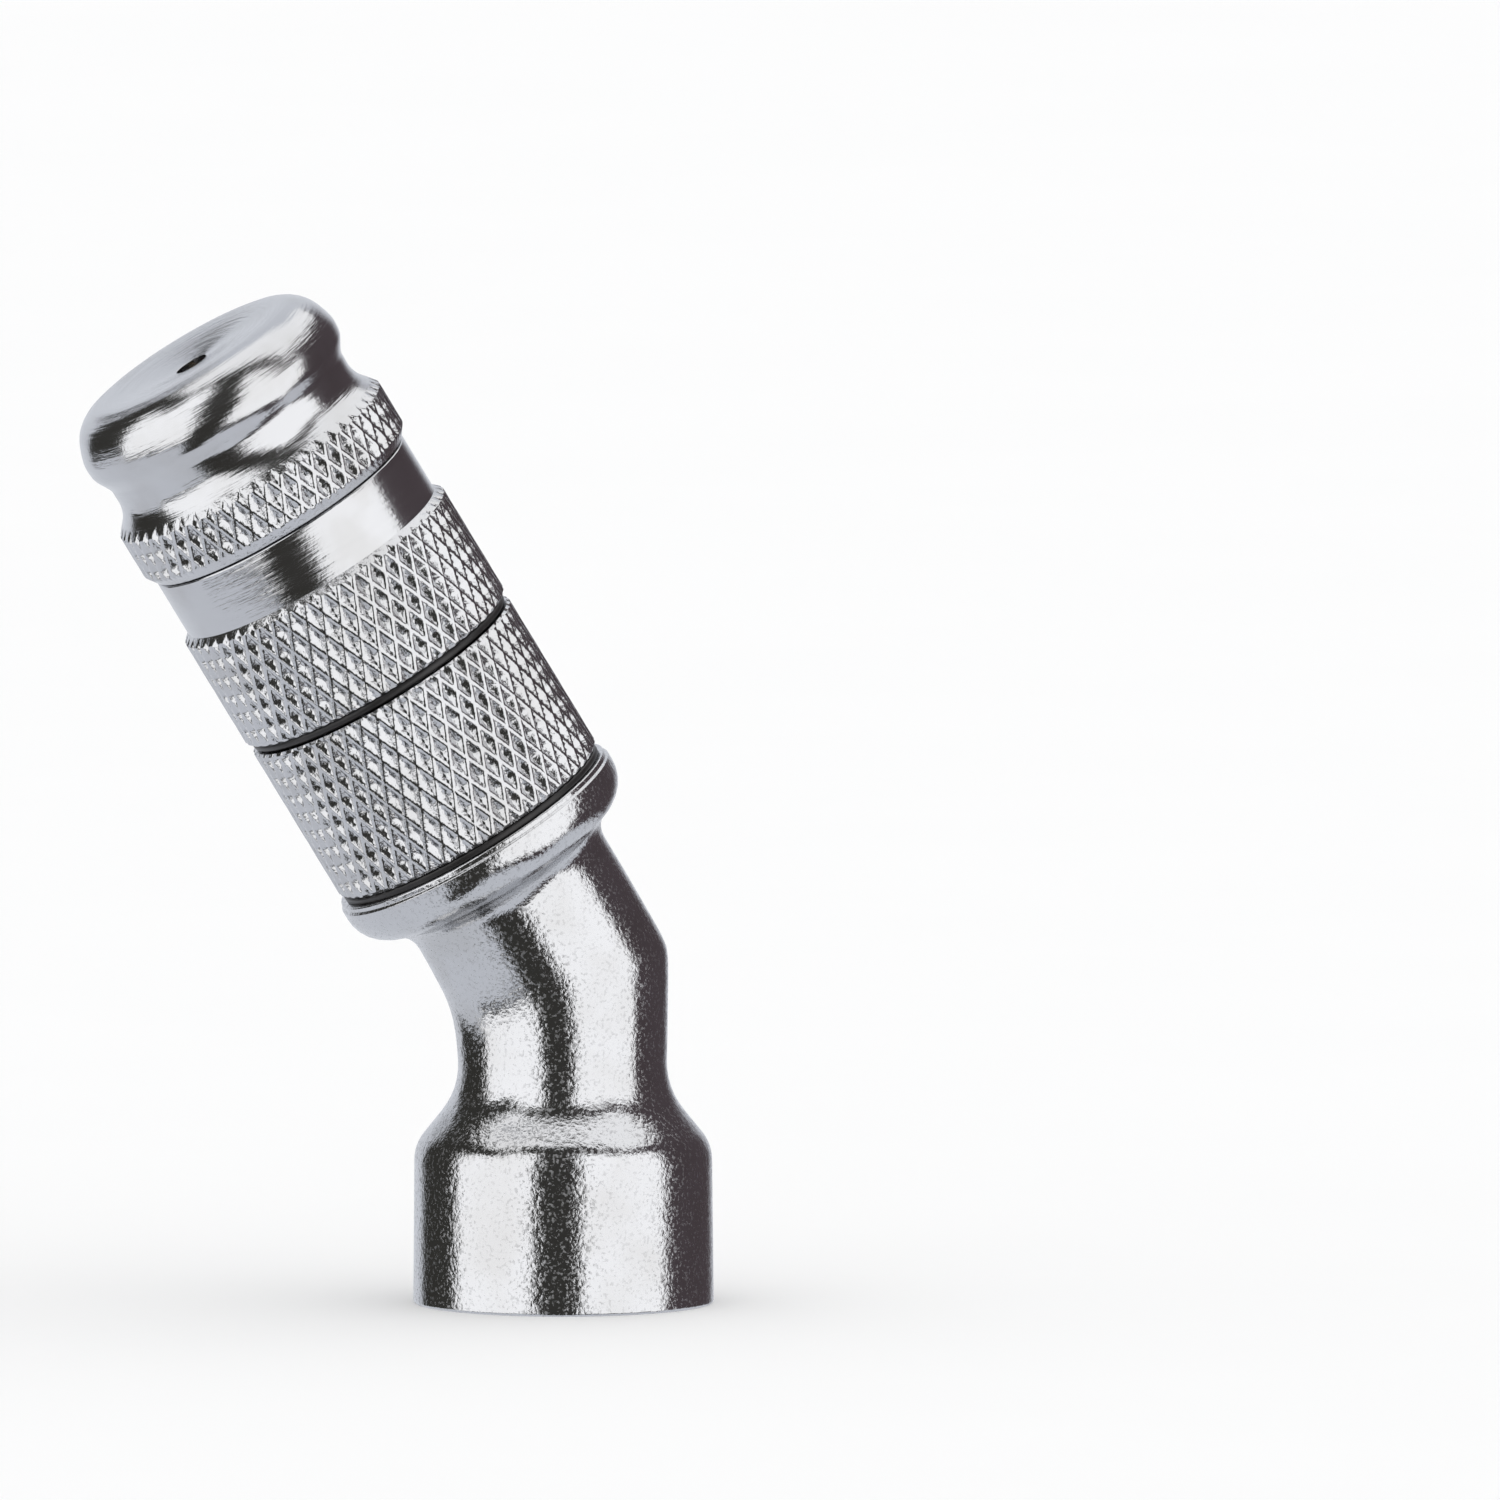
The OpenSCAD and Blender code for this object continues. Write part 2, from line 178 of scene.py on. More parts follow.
class SprayHeadStage(bpy.types.PropertyGroup):
    """Camera, studio light and floor."""

    azimuth: angle("Azimuth", "Turn of the camera round the upright axis", -12.9)
    elevation: angle("Elevation", "Height of the camera above the horizon", 5.3)
    lens: bpy.props.FloatProperty(
        name="Lens", description="Focal length", default=1600.0, min=50.0, unit="CAMERA")
    view_width: length("View width", "Width of the picture at the head", mm(87.0))
    look_right: length("Look right", "How far right of the inlet the camera looks", mm(10.8))
    look_up: length("Look up", "How far above the inlet the camera looks", mm(32.0))
    paper: colour("Paper", "Colour of the pale paper in reflections", (0.74, 0.765, 0.82))
    dark: colour("Dark", "Colour of the unlit room in reflections", (0.045, 0.044, 0.040))
    dark_side: colour("Dark side", "Colour of the unlit room on the right", (0.085, 0.068, 0.075))
    box_light: share("Box light", "Brightness of the soft boxes in reflections", 1.38, 10.0)
    floor: colour("Floor", "Colour of the floor", (0.96, 0.96, 0.96))


class SprayHeadSettings(bpy.types.PropertyGroup):
    """All settings of the spray head."""

    forging: bpy.props.PointerProperty(type=SprayHeadForging)
    knurl: bpy.props.PointerProperty(type=SprayHeadKnurl)
    threads: bpy.props.PointerProperty(type=SprayHeadThreads)
    finish: bpy.props.PointerProperty(type=SprayHeadFinish)
    stage: bpy.props.PointerProperty(type=SprayHeadStage)


# --------------------------------------------------------------------------- node helpers


def add(tree, kind, values=None, **settings):
    """Adds a node, sets its settings, and fills its inputs with numbers or links."""
    made = tree.nodes.new(kind)
    for name, value in settings.items():
        setattr(made, name, value)
    for key, value in (values or {}).items():
        if isinstance(value, bpy.types.NodeSocket):
            tree.links.new(value, made.inputs[key])
        else:
            made.inputs[key].default_value = value
    return made


def calc(tree, operation, *values):
    """The output of one Math node."""
    numbered = dict(enumerate(values))
    return add(tree, "ShaderNodeMath", numbered, operation=operation).outputs[0]


def ramp(tree, value, low, high):
    """0 below low and 1 above high, smoothly."""
    made = add(tree, "ShaderNodeMapRange",
               {"Value": value, "From Min": low, "From Max": high}, interpolation_type="SMOOTHSTEP")
    return made.outputs["Result"]


def blend_colours(tree, factor, first, second):
    """A colour between two others."""
    made = add(tree, "ShaderNodeMix", data_type="RGBA")
    for socket, value in ((made.inputs[0], factor), (made.inputs[6], first), (made.inputs[7], second)):
        if isinstance(value, bpy.types.NodeSocket):
            tree.links.new(value, socket)
        else:
            socket.default_value = value
    return made.outputs[2]


def rgba(value):
    """A colour with full alpha."""
    return (*value, 1.0)


def new_material(name):
    """An empty material, its tree and its Principled shader."""
    material = bpy.data.materials.new("finish_" + name)
    material.use_nodes = True
    tree = material.node_tree
    tree.nodes.clear()
    shader = add(tree, "ShaderNodeBsdfPrincipled")
    output = add(tree, "ShaderNodeOutputMaterial")
    tree.links.new(shader.outputs["BSDF"], output.inputs["Surface"])
    return material, tree, shader


def object_coordinates(tree, scale=(1.0, 1.0, 1.0), along_head=False):
    """Object coordinates. On the head, Z runs along a turned piece's profile instead."""
    place = add(tree, "ShaderNodeTexCoord").outputs["Object"]
    if along_head:
        centre = Matrix.Rotation(BEND_ANGLE, 3, "Y") @ BEND_POINT
        turned = add(tree, "ShaderNodeMapping", {
            "Vector": place, "Rotation": (0.0, BEND_ANGLE, 0.0), "Location": tuple(-centre)})
        parts = add(tree, "ShaderNodeSeparateXYZ", {0: turned.outputs["Vector"]}).outputs
        squared = calc(tree, "ADD", calc(tree, "POWER", parts[0], 2.0), calc(tree, "POWER", parts[1], 2.0))
        radius = calc(tree, "SQRT", squared)
        profile = calc(tree, "SUBTRACT", parts[2], radius)
        place = add(tree, "ShaderNodeCombineXYZ", {0: parts[0], 1: parts[1], 2: profile}).outputs[0]
    return add(tree, "ShaderNodeMapping", {"Vector": place, "Scale": scale}).outputs["Vector"]


def noise(tree, place, scale, detail=2.0, roughness=0.5):
    """A noise pattern's value."""
    made = add(tree, "ShaderNodeTexNoise",
               {"Vector": place, "Scale": scale, "Detail": detail, "Roughness": roughness})
    return made.outputs["Fac"]


def bump(tree, height, distance, below=None):
    """A bump on top of another, with its height in metres."""
    values = {"Height": height, "Distance": distance, "Strength": 1.0}
    if below is not None:
        values["Normal"] = below
    return add(tree, "ShaderNodeBump", values).outputs["Normal"]


# --------------------------------------------------------------------------- finishes


def plated_colour(tree, finish, place):
    """The plating's colour, with faint dull patches a few millimetres wide."""
    patches = ramp(tree, noise(tree, place, 1 / mm(4.0), 3.0), 0.42, 0.72)
    return blend_colours(tree, patches, rgba(finish.plating), rgba(finish.stain))


def blasted_plating(finish):
    """Bright plating over a bead-blasted forging: fine dull pits in a nearly smooth skin."""
    material, tree, shader = new_material("blasted_plating")
    place = object_coordinates(tree)
    shader.inputs["Metallic"].default_value = 1.0
    tree.links.new(plated_colour(tree, finish, place), shader.inputs["Base Color"])
    grain = noise(tree, place, 1 / finish.grain, 2.0, 0.5)
    waves = bump(tree, noise(tree, place, 1 / (2.6 * finish.grain), 1.0), 1.2 * finish.grain_height)
    tree.links.new(bump(tree, grain, finish.grain_height, waves), shader.inputs["Normal"])
    pits = ramp(tree, grain, 0.50, 0.66)
    dull = add(tree, "ShaderNodeMapRange", {"Value": pits, "To Min": 0.11, "To Max": finish.pit_roughness})
    tree.links.new(dull.outputs["Result"], shader.inputs["Roughness"])
    return material


def turned_plating(finish, name="turned_plating", line_share=1.0, speck_height=mm(0.008)):
    """Bright plating over a turned surface: fine lines round the head axis."""
    material, tree, shader = new_material(name)
    place = object_coordinates(tree)
    shader.inputs["Metallic"].default_value = 1.0
    tree.links.new(plated_colour(tree, finish, place), shader.inputs["Base Color"])
    around = 1 / mm(3.2)
    lines_place = object_coordinates(tree, (around, around, 1 / finish.line_pitch), along_head=True)
    lines = noise(tree, lines_place, 1.0, 3.0, 0.6)
    wide_place = object_coordinates(
        tree, (around / 2, around / 2, 0.2 / finish.line_pitch), along_head=True)
    wide = noise(tree, wide_place, 1.0, 2.0)
    waves = bump(tree, wide, 1.5 * line_share * finish.line_height)
    specks = noise(tree, place, 1 / mm(0.24), 2.0)
    pitted = bump(tree, specks, speck_height, waves)
    normal = bump(tree, lines, line_share * finish.line_height, pitted)
    tree.links.new(normal, shader.inputs["Normal"])
    dull = add(tree, "ShaderNodeMapRange", {"Value": lines, "To Min": 0.09, "To Max": 0.24})
    tree.links.new(dull.outputs["Result"], shader.inputs["Roughness"])
    return material


def rubber(name, base, grain_height=mm(0.004)):
    """Moulded rubber with a faint skin."""
    material, tree, shader = new_material(name)
    place = object_coordinates(tree)
    patches = ramp(tree, noise(tree, place, 1 / mm(1.5), 3.0), 0.35, 0.75)
    lighter = tuple(min(1.0, 1.7 * part + 0.004) for part in base)
    tree.links.new(blend_colours(tree, patches, rgba(base), rgba(lighter)), shader.inputs["Base Color"])
    shader.inputs["Roughness"].default_value = 0.38
    fine = noise(tree, place, 1 / mm(0.12), 2.0)
    tree.links.new(bump(tree, fine, grain_height), shader.inputs["Normal"])
    return material


def bare_metal(name, base, roughness):
    """Bare turned metal with fine lines and slight tarnish."""
    material, tree, shader = new_material(name)
    place = object_coordinates(tree)
    tarnish = ramp(tree, noise(tree, place, 1 / mm(1.8), 4.0), 0.4, 0.8)
    duller = tuple(0.78 * part for part in base)
    tree.links.new(blend_colours(tree, tarnish, rgba(base), rgba(duller)), shader.inputs["Base Color"])
    shader.inputs["Metallic"].default_value = 1.0
    shader.inputs["Roughness"].default_value = roughness
    stretched = object_coordinates(tree, (1 / mm(2), 1 / mm(2), 1 / mm(0.08)), along_head=True)
    tree.links.new(bump(tree, noise(tree, stretched, 1.0, 2.0), mm(0.003)), shader.inputs["Normal"])
    return material


def plain_plastic(name, base, roughness):
    """Low-friction plastic or pressed fibre, with a fine mottle."""
    material, tree, shader = new_material(name)
    place = object_coordinates(tree)
    mottle = noise(tree, place, 1 / mm(0.35), 4.0)
    darker = tuple(0.8 * part for part in base)
    tree.links.new(blend_colours(tree, mottle, rgba(base), rgba(darker)), shader.inputs["Base Color"])
    shader.inputs["Roughness"].default_value = roughness
    tree.links.new(bump(tree, mottle, mm(0.004)), shader.inputs["Normal"])
    return material


def pale_floor(stage):
    """Even pale paper."""
    material, tree, shader = new_material("pale_floor")
    place = object_coordinates(tree)
    fibres = ramp(tree, noise(tree, place, 1 / mm(30.0), 3.0), 0.3, 0.7)
    shade = tuple(0.995 * part for part in stage.floor)
    tree.links.new(
        blend_colours(tree, fibres, rgba(stage.floor), rgba(shade)), shader.inputs["Base Color"])
    shader.inputs["Roughness"].default_value = 1.0
    shader.inputs["Specular IOR Level"].default_value = 0.0
    return material


def finished(name):
    """A finish by name, made the first time it is asked for."""
    made = bpy.data.materials.get("finish_" + name)
    if made:
        return made
    finish = bpy.context.scene.spray_head.finish
    makers = {
        "blasted_plating": lambda: blasted_plating(finish),
        "turned_plating": lambda: turned_plating(finish),
        "knurled_plating": lambda: turned_plating(finish, "knurled_plating", 0.3, mm(0.03)),
        "black_rubber": lambda: rubber("black_rubber", tuple(finish.rubber)),
        "grey_rubber": lambda: rubber("grey_rubber", (0.06, 0.06, 0.064), mm(0.008)),
        "bare_brass": lambda: bare_metal("bare_brass", tuple(finish.brass), 0.22),
        "stainless": lambda: bare_metal("stainless", tuple(finish.steel), 0.25),
        "white_plastic": lambda: plain_plastic("white_plastic", (0.82, 0.80, 0.74), 0.45),
        "fibre": lambda: plain_plastic("fibre", (0.42, 0.13, 0.08), 0.8),
    }
    return makers[name]()


# --------------------------------------------------------------------------- mesh helpers


def rounded(points, steps=5):
    """An outline whose corners (radius, station, fillet) are rounded by arcs."""
    outline = []
    count = len(points)
    for index, point in enumerate(points):
        here = Vector(point[:2])
        fillet = point[2] if len(point) > 2 else 0.0
        before = (Vector(points[index - 1][:2]) - here)
        after = (Vector(points[(index + 1) % count][:2]) - here)
        if fillet <= 0 or before.length == 0 or after.length == 0:
            outline.append(here)
            continue
        before.normalize()
        after.normalize()
        half = before.angle(after) / 2
        reach = fillet / math.tan(half)
        centre = here + (before + after).normalized() * (fillet / math.sin(half))
        first = here + before * reach - centre
        sweep = first.angle_signed(here + after * reach - centre)
        for step in range(steps + 1):
            turn = -sweep * step / steps
            outline.append(centre + Matrix.Rotation(turn, 2) @ first)
    return [(point.x, point.y) for point in outline]


def add_rings(bm, rings, close=True):
    """Joins rings of points into a skin, and the last ring to the first if close is set."""
    made = [[bm.verts.new(point) for point in ring] for ring in rings]
    pairs = list(zip(made, made[1:]))
    if close:
        pairs.append((made[-1], made[0]))
    for lower, upper in pairs:
        for index in range(len(lower)):
            after = (index + 1) % len(lower)
            bm.faces.new((lower[index], lower[after], upper[after], upper[index]))


def clean(bm):
    """Merges doubles and points all faces outwards."""
    bmesh.ops.remove_doubles(bm, verts=bm.verts[:], dist=mm(0.0005))
    bmesh.ops.recalc_face_normals(bm, faces=bm.faces[:])


def mesh_of(bm, name, in_head_space=True):
    """A mesh from the build, moved out of the head's space if it was built there."""
    mesh = bpy.data.meshes.new(name)
    bm.to_mesh(mesh)
    bm.free()
    if in_head_space:
        mesh.transform(HEAD_SPACE)
    return mesh


def skin(rings, in_head_space=True):
    """A closed mesh through rings of points."""
    bm = bmesh.new()
    add_rings(bm, rings)
    clean(bm)
    return mesh_of(bm, "skin", in_head_space)


def turned(outline, segments, in_head_space=True):
    """A solid turned from a closed outline of (radius, station) round the head axis."""
    rings = []
    for radius, station in outline:
        rings.append([
            Vector((radius * math.cos(TURN * step / segments),
                    radius * math.sin(TURN * step / segments), station))
            for step in range(segments)])
    return skin(rings, in_head_space)


def new_object(name, data):
    """A new object in the scene."""
    made = bpy.data.objects.new(name, data)
    bpy.context.scene.collection.objects.link(made)
    return made


def applied(work, tool):
    """The mesh that an object's modifiers make. The object and the tool they use are removed."""
    bpy.context.view_layer.update()
    made = work.evaluated_get(bpy.context.evaluated_depsgraph_get())
    mesh = bpy.data.meshes.new_from_object(made)
    for used in (work, tool):
        data = used.data
        bpy.data.objects.remove(used)
        bpy.data.meshes.remove(data)
    return mesh


def put(name, meshes, body, replaced, sharp_degrees=28.0):
    """Joins meshes with their materials into one finished piece on a body."""
    bm = bmesh.new()
    piece_mesh = bpy.data.meshes.new(name)
    for number, (mesh, material) in enumerate(meshes):
        mesh.polygons.foreach_set("material_index", [number] * len(mesh.polygons))
        bm.from_mesh(mesh)
        piece_mesh.materials.append(material)
        bpy.data.meshes.remove(mesh)
    bm.to_mesh(piece_mesh)
    bm.free()
    piece_mesh.shade_smooth()
    piece_mesh.set_sharp_from_angle(angle=math.radians(sharp_degrees))
    piece = new_object(name, piece_mesh)
    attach(piece, body)
    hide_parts(*replaced)
    return piece


# --------------------------------------------------------------------------- winding tree


def winding_tree():
    """A node tree that sets copies of one cell round an axis, in rows or along a helix."""
    made = bpy.data.node_groups.get("wind_round_axis")
    if made:
        return made
    tree = bpy.data.node_groups.new("wind_round_axis", "GeometryNodeTree")
    sockets = (
        ("Cell", "NodeSocketObject"), ("Around", "NodeSocketInt"), ("Rows", "NodeSocketInt"),
        ("Start", "NodeSocketFloat"), ("Row Rise", "NodeSocketFloat"),
        ("Climb", "NodeSocketFloat"), ("Stagger", "NodeSocketFloat"),
        ("Material", "NodeSocketMaterial"))
    for name, kind in sockets:
        tree.interface.new_socket(name, in_out="INPUT", socket_type=kind)
    tree.interface.new_socket("Geometry", in_out="OUTPUT", socket_type="NodeSocketGeometry")
    given = add(tree, "NodeGroupInput").outputs
    index = add(tree, "GeometryNodeInputIndex").outputs[0]
    count = calc(tree, "MULTIPLY", given["Around"], given["Rows"])
    row = calc(tree, "FLOOR", calc(tree, "DIVIDE", index, given["Around"]))
    place = calc(tree, "SUBTRACT", index, calc(tree, "MULTIPLY", row, given["Around"]))
    shift = calc(tree, "MULTIPLY", calc(tree, "MODULO", row, 2.0), given["Stagger"])
    part = calc(tree, "DIVIDE", calc(tree, "ADD", place, shift), given["Around"])
    climbed = calc(tree, "MULTIPLY", part, given["Climb"])
    risen = calc(tree, "MULTIPLY", row, given["Row Rise"])
    station = calc(tree, "ADD", given["Start"], calc(tree, "ADD", risen, climbed))
    position = add(tree, "ShaderNodeCombineXYZ", {"Z": station}).outputs[0]
    turn = add(tree, "ShaderNodeCombineXYZ", {"Z": calc(tree, "MULTIPLY", part, TURN)}).outputs[0]
    points = add(tree, "GeometryNodePoints", {"Count": count, "Position": position})
    cell = add(tree, "GeometryNodeObjectInfo", {"Object": given["Cell"]})
    copies = add(tree, "GeometryNodeInstanceOnPoints", {
        "Points": points.outputs[0], "Instance": cell.outputs["Geometry"], "Rotation": turn})
    real = add(tree, "GeometryNodeRealizeInstances", {"Geometry": copies.outputs[0]})
    merged = add(tree, "GeometryNodeMergeByDistance",
                 {"Geometry": real.outputs[0], "Distance": mm(0.002)})
    coated = add(tree, "GeometryNodeSetMaterial",
                 {"Geometry": merged.outputs[0], "Material": given["Material"]})
    output = add(tree, "NodeGroupOutput")
    tree.links.new(coated.outputs[0], output.inputs[0])
    return tree


def wind(cell_mesh, material, **values):
    """The plain mesh that the winding tree makes from one cell."""
    cell = new_object("cell", cell_mesh)
    carrier = new_object("carrier", bpy.data.meshes.new("carrier"))
    modifier = carrier.modifiers.new("wind", "NODES")
    modifier.node_group = winding_tree()
    values = {**values, "Cell": cell, "Material": material}
    for item in modifier.node_group.interface.items_tree:
        if item.in_out == "INPUT":
            modifier[item.identifier] = values[item.name]
    mesh = applied(carrier, cell)
    if not mesh.polygons:
        raise RuntimeError("the winding tree made nothing")
    return mesh


def knurl_cell(knurl, radius):
    """One diamond of the knurl: rounded ridges round a pit, bent to the radius."""
    ridge, floor = knurl.ridge, knurl.floor
    side = (0.0, ridge / 3, ridge * 2 / 3, ridge, (ridge + floor) / 2, floor)
    stops = side + (0.5,) + tuple(1 - stop for stop in reversed(side))

    def depth_at(stop):
        near = min(stop, 1 - stop, floor)
        sunk = near ** 2 / (2 * ridge) if near < ridge else near - ridge / 2
        return sunk / (floor - ridge / 2)

    bm = bmesh.new()
    grid = []
    for first in stops:
        row = []
        for second in stops:
            turn = TURN * ((first + second) / 2 - 0.5) / knurl.ridges
            station = knurl.lead * (first - second) / 2
            reach = radius - knurl.depth * min(depth_at(first), depth_at(second))
            row.append(bm.verts.new((reach * math.cos(turn), reach * math.sin(turn), station)))
        grid.append(row)
    for lower, upper in zip(grid, grid[1:]):
        for index in range(len(lower) - 1):
            bm.faces.new((lower[index], upper[index], upper[index + 1], lower[index + 1]))
    return mesh_of(bm, "knurl_cell", in_head_space=False)


def cut_across(bm, station, keep=None):
    """Cuts the build square to the axis, and keeps what is "above" or "below" the cut."""
    bmesh.ops.bisect_plane(
        bm, geom=bm.verts[:] + bm.edges[:] + bm.faces[:], dist=mm(0.0002),
        plane_co=(0, 0, station), plane_no=(0, 0, 1),
        clear_inner=keep == "above", clear_outer=keep == "below")


def cut_to(mesh, start, end):
    """A build of the mesh between two stations, open at both."""
    bm = bmesh.new()
    bm.from_mesh(mesh)
    bpy.data.meshes.remove(mesh)
    cut_across(bm, start, "above")
    cut_across(bm, end, "below")
    return bm


def close_band(bm, inner_r):
    """Turns an open sleeve into a closed ring with an inner wall."""
    edges = [edge for edge in bm.edges if edge.is_boundary]
    grown = bmesh.ops.extrude_edge_only(bm, edges=edges)["geom"]
    for vertex in (item for item in grown if isinstance(item, bmesh.types.BMVert)):
        scale = inner_r / math.hypot(vertex.co.x, vertex.co.y)
        vertex.co.x *= scale
        vertex.co.y *= scale
    rims = [item for item in grown if isinstance(item, bmesh.types.BMEdge) and item.is_boundary]
    bmesh.ops.bridge_loops(bm, edges=rims)


def knurl_band(knurl, material, radius, start, end, inner_r, start_bevel, end_bevel):
    """A closed knurled ring. A bevel is (length along the axis, drop in radius)."""
    half_lead = knurl.lead / 2
    rows = math.ceil((end - start) / half_lead) + 3
    mesh = wind(knurl_cell(knurl, radius), material, Around=knurl.ridges, Rows=rows, Climb=0.0,
                Start=start - half_lead, Stagger=0.5, **{"Row Rise": half_lead})
    bm = cut_to(mesh, start, end)
    cut_across(bm, start + start_bevel[0])
    cut_across(bm, end - end_bevel[0])
    for vertex in bm.verts:
        into_start = max(0.0, 1 - (vertex.co.z - start) / start_bevel[0])
        into_end = max(0.0, 1 - (end - vertex.co.z) / end_bevel[0])
        limit = radius - start_bevel[1] * into_start - end_bevel[1] * into_end
        reach = math.hypot(vertex.co.x, vertex.co.y)
        if reach > limit:
            vertex.co.x *= limit / reach
            vertex.co.y *= limit / reach
    close_band(bm, inner_r)
    clean(bm)
    return mesh_of(bm, "knurl")


def thread_mesh(slices, material, root_r, crest_r, pitch, start, end, in_head_space=True):
    """The ridge of a right-handed screw thread; the crest may lie inside or outside the root."""
    rise = pitch / slices
    turn = TURN / slices
    buried = root_r - math.copysign(mm(0.15), crest_r - root_r)
    # Half widths as shares of the pitch
    crest, foot, base = 0.08, 0.44, 0.46
    profile = ((buried, -base), (root_r, -foot), (crest_r, -crest),
               (crest_r, crest), (root_r, foot), (buried, base))
    bm = bmesh.new()
    rings = []
    for step in (0, 1):
        rings.append([
            (radius * math.cos(step * turn), radius * math.sin(step * turn), part * pitch + step * rise)
            for radius, part in profile])
    add_rings(bm, rings, close=False)
    cell = mesh_of(bm, "thread_cell", in_head_space=False)
    turns = math.ceil((end - start) / pitch) + 2
    mesh = wind(cell, material, Around=slices, Rows=turns, Climb=pitch, Start=start - pitch,
                Stagger=0.0, **{"Row Rise": pitch})
    bm = cut_to(mesh, start, end)
    bmesh.ops.holes_fill(bm, edges=[edge for edge in bm.edges if edge.is_boundary])
    clean(bm)
    return mesh_of(bm, "thread", in_head_space)


# --------------------------------------------------------------------------- elbow forging


def bent_point(forging, radius, turn, along):
    """A point of the forging: a straight pipe's point, folded at the mitre plane."""
    easing = mm(3.6)
    side = radius * math.cos(turn)
    fold = side * math.tan(BEND_ANGLE / 2)
    along_fibre = along + fold * max(-1.0, min(1.0, along / easing))
    inner = (1 - math.cos(turn)) / 2
    soft = forging.outer_corner + (forging.inner_corner - forging.outer_corner) * inner ** 1.5
    bend = math.hypot(along_fibre, soft)
    before, after = (along_fibre - bend) / 2, (along_fibre + bend) / 2
    corner = Vector((side, radius * math.sin(turn), BEND_Z + fold))
    return corner + Vector((0, 0, before)) + HEAD_AXIS * after


def elbow_outline(forging):
    """Closed outline of the forging as a straight pipe: radius and height from the bend."""
    low = -BEND_Z
    mouth_r, socket_r, collar_r, lip_r = mm(8.7), mm(8.6), mm(8.93), mm(8.78)
    collar_start, collar_end, collar_top = mm(7.9), mm(10.0), mm(10.4)
    spigot_r, spigot_end = mm(5.0), head_span("elbow_body")[1]
    passage_r, lower_passage_r = mm(3.1), mm(3.2)
    strainer_r, washer_r, thread_r, chamfer_r = mm(3.65), mm(6.3), mm(6.58), mm(6.95)
    inlet_top, washer_top, strainer_top = low + mm(8.3), low + mm(9.35), low + mm(10.7)
    slope_run = (socket_r - forging.tube_r) / math.tan(forging.shoulder_slope)
    cone_low = inlet_top + forging.shoulder_round * math.tan(forging.shoulder_slope / 2)
    shoulder = [
        (mouth_r, low, mm(0.18)), (socket_r, cone_low, forging.shoulder_round),
        (forging.tube_r, cone_low + slope_run, forging.shoulder_fillet)]
    collar = [
        (forging.head_tube_r, mm(3.6)), (forging.head_tube_r + mm(0.02), mm(7.0), mm(1.7)),
        (collar_r, collar_start, mm(2.2)), (collar_r, collar_end, mm(0.06)),
        (lip_r + mm(0.02), collar_end + mm(0.1), mm(0.05)), (lip_r, collar_top, mm(0.1)),
        (spigot_r, collar_top), (spigot_r, spigot_end, mm(0.2))]
    bore = [
        (passage_r, spigot_end, mm(0.2)), (passage_r, mm(4.0)), (lower_passage_r, mm(-4.0)),
        (lower_passage_r, strainer_top), (strainer_r, strainer_top), (strainer_r, washer_top),
        (washer_r, washer_top), (washer_r, inlet_top), (thread_r, inlet_top),
        (thread_r, low + mm(0.5)), (chamfer_r, low, mm(0.08))]
    return rounded(shoulder + collar + bore, 6)


def split_long(outline, longest):
    """The outline with extra points wherever two lie further apart than longest."""
    filled = []
    for index, point in enumerate(outline):
        after = outline[(index + 1) % len(outline)]
        gap = math.dist(point, after)
        steps = max(1, math.ceil(gap / longest))
        for step in range(steps):
            part = step / steps
            filled.append((point[0] + (after[0] - point[0]) * part,
                           point[1] + (after[1] - point[1]) * part))
    return filled


def elbow_mesh(forging):
    """The whole forging as one closed skin."""
    rings = []
    for radius, along in split_long(elbow_outline(forging), mm(0.45)):
        rings.append([
            bent_point(forging, radius, TURN * step / forging.segments, along)
            for step in range(forging.segments)])
    return skin(rings, in_head_space=False)


class SPRAYHEAD_OT_elbow(bpy.types.Operator):
    """Make the elbow forging with its inlet thread"""

    bl_idname = "sprayhead.elbow"
    bl_label = "Elbow Forging"

    def execute(self, context):
        settings = context.scene.spray_head
        plating = finished("blasted_plating")
        bright = finished("turned_plating")
        thread = thread_mesh(settings.threads.slices, bright, mm(6.58), mm(5.85),
                             settings.threads.inlet_pitch, mm(0.6), mm(8.1), in_head_space=False)
        put("elbow_forging", [(elbow_mesh(settings.forging), plating), (thread, bright)],
            "elbow", ["elbow_body"])
        return {"FINISHED"}


# --------------------------------------------------------------------------- knurled pieces


class SPRAYHEAD_OT_nut(bpy.types.Operator):
    """Make the knurled coupling nut"""

    bl_idname = "sprayhead.nut"
    bl_label = "Coupling Nut"

    def execute(self, context):
        settings = context.scene.spray_head
        knurled, bright = finished("knurled_plating"), finished("turned_plating")
        start, end, radius = head_span("coupling_nut")
        core_r = radius - settings.knurl.depth - UNDER_PITS
        bore_r, thread_r, lip = mm(5.06), mm(7.5), mm(1.6)
        outline = rounded([
            (bore_r, start, mm(0.1)), (core_r, start), (core_r, end), (mm(7.75), end, mm(0.05)),
            (thread_r, end - mm(0.3)), (thread_r, start + lip), (bore_r, start + lip)])
        band = knurl_band(settings.knurl, knurled, radius, start, end, core_r - LAP,
                          (mm(0.2), mm(0.2)), (mm(0.14), mm(0.16)))
        thread = thread_mesh(settings.threads.slices, bright, thread_r, mm(7.02),
                             settings.threads.screw_pitch, start + mm(3.2), end - mm(0.4))
        put("knurled_nut", [(turned(outline, 128), bright), (band, knurled), (thread, bright)],
            "nut", ["coupling_nut"])
        return {"FINISHED"}


def drilled(mesh, cutters):
    """The mesh with round holes cut through it by closed cutter meshes."""
    work = new_object("work", mesh)
    drill = new_object("drill", cutters)
    modifier = work.modifiers.new("drill", "BOOLEAN")
    modifier.object = drill
    modifier.solver = "EXACT"
    modifier.use_self = True
    return applied(work, drill)


